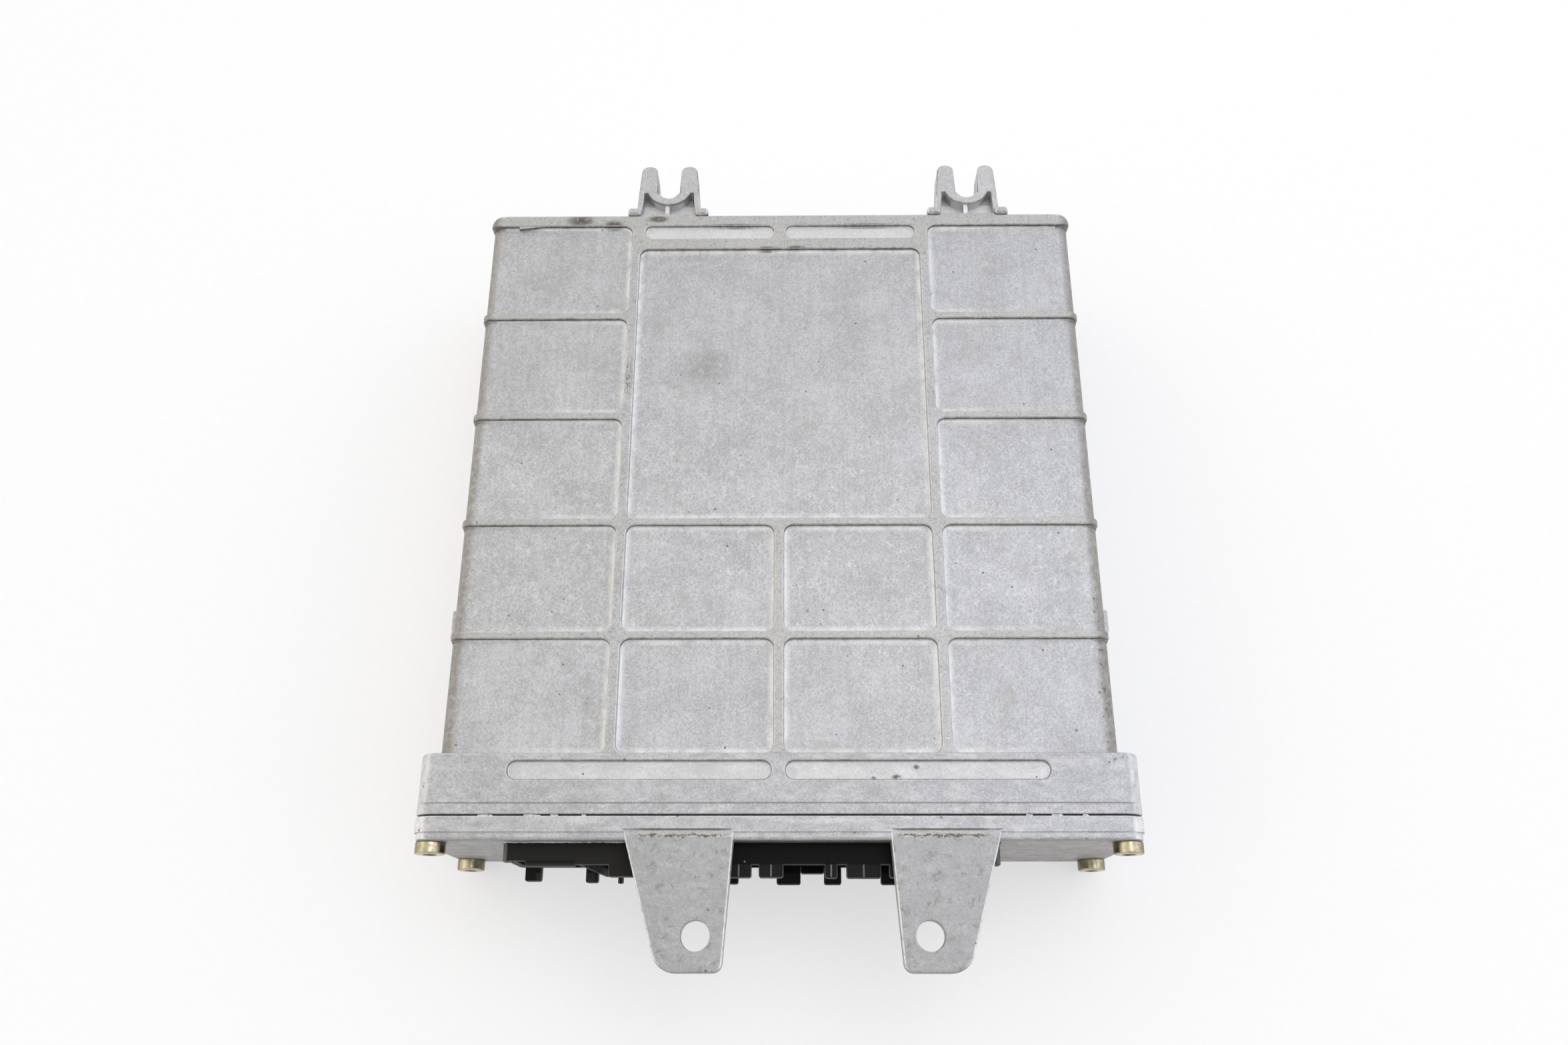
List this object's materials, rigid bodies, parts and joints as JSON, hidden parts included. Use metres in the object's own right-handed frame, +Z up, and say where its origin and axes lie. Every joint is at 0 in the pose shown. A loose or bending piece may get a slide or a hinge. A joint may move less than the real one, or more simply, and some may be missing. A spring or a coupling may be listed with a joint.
{
  "type": "engine control unit",
  "caption": "Ribbed die-cast engine control unit with a flanged cover, drilled mounting tabs, rear fork lugs, a recessed plug socket and circuit boards inside.",
  "frame": {"origin": "middle of the overall length and width, on the surface that the underside lies on", "axes": "+Z up out of the ribbed top, +Y towards the fork lugs, -Y the way the plug socket faces"},
  "size_m": [0.17, 0.2144, 0.05],
  "materials": {
    "housing_casting": "satin as-cast",
    "cover_casting": "satin as-cast",
    "yellow_zinc": "yellow passivated zinc",
    "black_plastic": "moulded",
    "seal_rubber": "matt",
    "contact_metal": "tinned",
    "plain_steel": "zinc plated",
    "board_laminate": "green solder resist",
    "spacer_brass": "turned",
    "rail_aluminium": "extruded",
    "chip_epoxy": "moulded epoxy",
    "crystal_can": "drawn can",
    "capacitor_sleeve": "shrink sleeve",
    "capacitor_film": "dipped",
    "choke_enamel": "enamelled wire",
    "chip_ceramic": "fired"
  },
  "bodies": {
    "root": {"housing": "housing_casting", "front_cover": "cover_casting", "cover_gasket": "seal_rubber", "cover_screws": "yellow_zinc", "connector_shell": "black_plastic", "connector_seal": "seal_rubber", "connector_pins": "contact_metal", "connector_screws": "plain_steel", "main_board": "board_laminate", "upper_board": "board_laminate", "board_spacers": "spacer_brass", "spacer_screws": "plain_steel", "link_strip": "black_plastic", "link_pins": "contact_metal", "heat_rail": "rail_aluminium", "driver_transistors": "chip_epoxy", "spring_clips": "plain_steel", "rail_screws": "plain_steel", "processor": "chip_epoxy", "knock_processor": "chip_epoxy", "memory_socket": "black_plastic", "memory_chip": "chip_epoxy", "interface_chips": "chip_epoxy", "logic_chips": "chip_epoxy", "crystal": "crystal_can", "capacitors": "capacitor_sleeve", "film_capacitors": "capacitor_film", "filter_choke": "choke_enamel", "small_parts": "chip_ceramic"}
  },
  "joints": []
}
